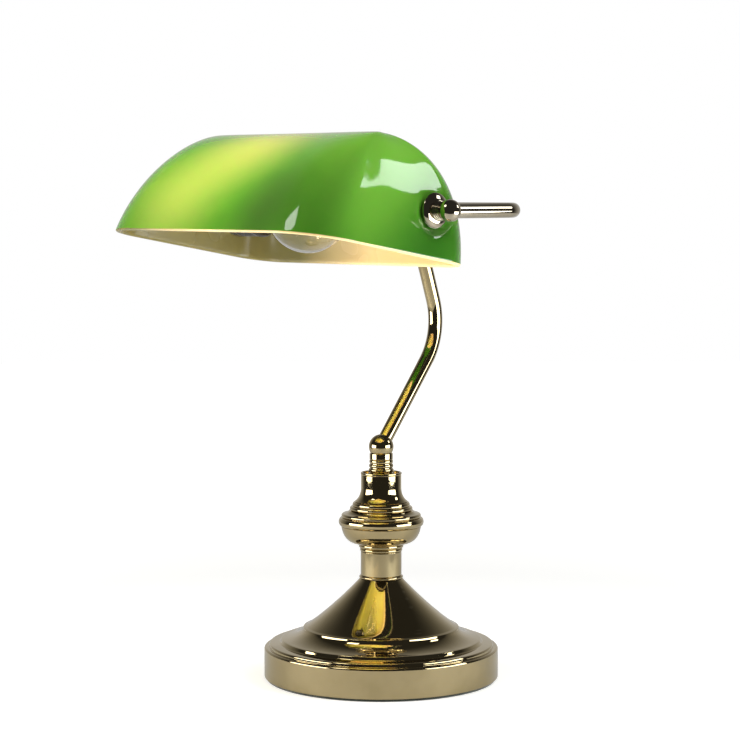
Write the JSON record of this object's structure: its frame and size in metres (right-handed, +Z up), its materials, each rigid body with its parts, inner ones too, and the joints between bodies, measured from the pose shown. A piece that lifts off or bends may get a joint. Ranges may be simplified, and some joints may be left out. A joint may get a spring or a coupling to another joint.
{
  "type": "banker desk lamp",
  "caption": "Desk lamp with a weighted brass base, turned column, bent arm and yoke, and a tilting green glass trough shade over a screw-in bulb.",
  "frame": {"origin": "centre of the felt pad's underside, on the surface the lamp stands on", "axes": "+X along the shade, towards the end without the lampholder; +Y towards the back, so the shade looks to -Y; +Z up"},
  "size_m": [0.2434, 0.2532, 0.3794],
  "materials": {
    "polished_brass": "highly polished, lacquered",
    "green_cased_glass": "glossy green outside, opal cream inside, opaque",
    "felt": "dense felt",
    "cast_iron": "as cast",
    "rubber": "moulded",
    "zinc_steel": "zinc plated",
    "black_bakelite": "moulded, semi gloss",
    "white_ceramic": "glazed",
    "nickel_plate": "nickel plated",
    "clear_glass": "clear, blown",
    "tungsten": "drawn wire",
    "vulcanised_fibre": "pressed fibre"
  },
  "bodies": {
    "stand": {"felt_pad": "felt", "ballast_weight": "cast_iron", "base_shell": "polished_brass", "cord_bush": "rubber", "threaded_pipe": "zinc_steel", "base_washer": "zinc_steel", "base_nut": "zinc_steel", "seat_ring": "polished_brass", "neck_sleeve": "polished_brass", "bowl_foot_bead": "polished_brass", "column_bowl": "polished_brass", "bowl_rim_ring": "polished_brass", "step_ring": "polished_brass", "upper_ring": "polished_brass", "collar_cup": "polished_brass", "ribbed_coupling": "polished_brass", "arm_ball": "polished_brass", "arm_tube": "polished_brass", "yoke_tee": "polished_brass", "near_yoke_tube": "polished_brass", "far_yoke_tube": "polished_brass", "near_elbow_ball": "polished_brass", "far_elbow_ball": "polished_brass", "near_nipple": "zinc_steel", "far_nipple": "zinc_steel", "near_flared_cap": "polished_brass", "far_flared_cap": "polished_brass", "near_inner_nut": "zinc_steel", "lampholder_cap": "black_bakelite", "lampholder_disc": "white_ceramic", "lampholder_sleeve": "black_bakelite", "lampholder_screw_shell": "nickel_plate", "lampholder_contact": "nickel_plate"},
    "shade": {"glass_shade": "green_cased_glass", "near_outer_fibre_washer": "vulcanised_fibre", "near_inner_fibre_washer": "vulcanised_fibre", "far_outer_fibre_washer": "vulcanised_fibre", "far_inner_fibre_washer": "vulcanised_fibre"},
    "bulb": {"bulb_contact": "nickel_plate", "bulb_insulator": "black_bakelite", "bulb_screw_cap": "nickel_plate", "bulb_glass": "clear_glass", "bulb_stem": "clear_glass", "bulb_filament": "tungsten"}
  },
  "joints": [
    {"name": "shade_tilt", "type": "hinge", "parent": "stand", "child": "shade", "pos_m": [0, -0.0541, 0.3285], "axis": [-1, 0, 0], "range_deg": [-50, 70]},
    {"name": "bulb_unscrewing", "type": "slide", "parent": "stand", "child": "bulb", "axis": [1, 0, 0], "range_m": [0, 0.024]}
  ]
}
